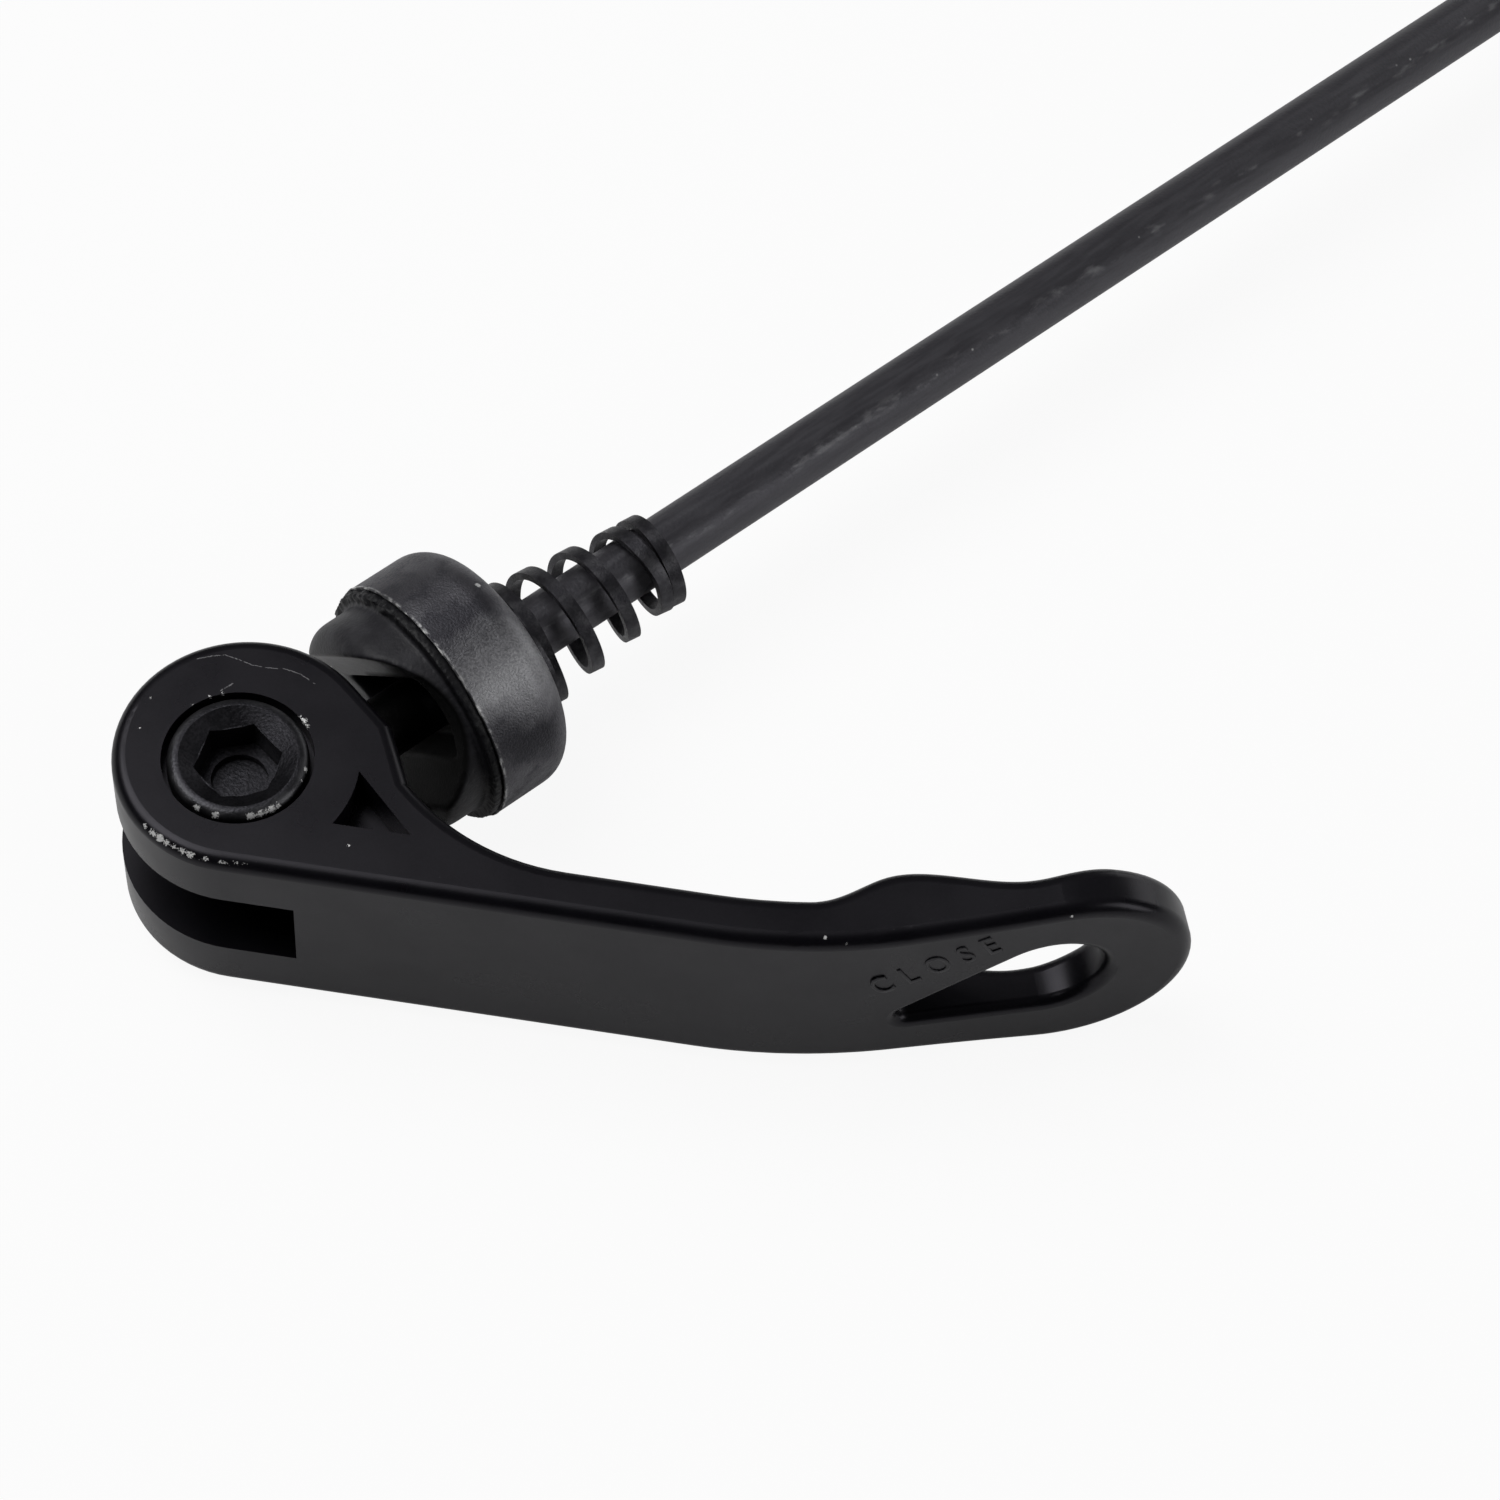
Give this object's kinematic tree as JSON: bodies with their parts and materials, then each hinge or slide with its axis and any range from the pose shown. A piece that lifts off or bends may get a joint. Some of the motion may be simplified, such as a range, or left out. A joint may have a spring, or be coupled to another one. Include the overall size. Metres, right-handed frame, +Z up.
{
  "type": "quick release skewer",
  "caption": "Bicycle wheel quick release skewer: steel rod with a forked cam lever, a pressure cap with a plastic saddle, conical springs and a threaded adjusting nut.",
  "frame": {"origin": "on the rod's axis, half way between the clamping faces of the cap and the nut", "axes": "+X along the rod from the lever to the nut, +Z up along the lever's pivot, -Y towards the folded lever's paddle"},
  "size_m": [0.1953, 0.064, 0.0208],
  "materials": {
    "lever_paint": "gloss black paint over forged alloy, chipped bright at the edges",
    "black_oxide_steel": "black oxide with worn bright spots on the rim",
    "rod_steel": "dull dark grey, faint scuffs along the length",
    "cap_steel": "dark satin, drawn steel with worn patches",
    "saddle_nylon": "moulded black nylon, ragged flange edge",
    "spring_steel": "black finished flat wire",
    "nut_alloy": "satin black",
    "ring_nylon": "dark nylon"
  },
  "bodies": {
    "skewer": {"skewer_rod": "rod_steel", "pivot_pin": "black_oxide_steel"},
    "lever": {"lever": "lever_paint"},
    "cap": {"pressure_cap": "cap_steel", "cam_saddle": "saddle_nylon", "lever_spring": "spring_steel"},
    "nut_spring": {"nut_spring": "spring_steel"},
    "nut": {"adjusting_nut": "nut_alloy", "nut_lock_ring": "ring_nylon"}
  },
  "joints": [
    {"name": "lever_swing", "type": "hinge", "parent": "skewer", "child": "lever", "pos_m": [-0.09724, 0, 0], "axis": [0, 0, -1], "range_deg": [0, 220]},
    {"name": "cap_slide", "type": "slide", "parent": "skewer", "child": "cap", "axis": [1, 0, 0], "range_m": [-0.0018, 0.095]},
    {"name": "nut_travel", "type": "slide", "parent": "skewer", "child": "nut_spring", "axis": [1, 0, 0], "range_m": [-0.0101, 0.00245]},
    {"name": "nut_spin", "type": "hinge", "parent": "nut_spring", "child": "nut", "pos_m": [0.0725, 0, 0], "axis": [1, 0, 0], "range_deg": [-4500, 1080]}
  ],
  "couplings": [
    {"joint": "nut_travel", "follows": "nut_spin", "m_per_rad": 0.00012732}
  ]
}
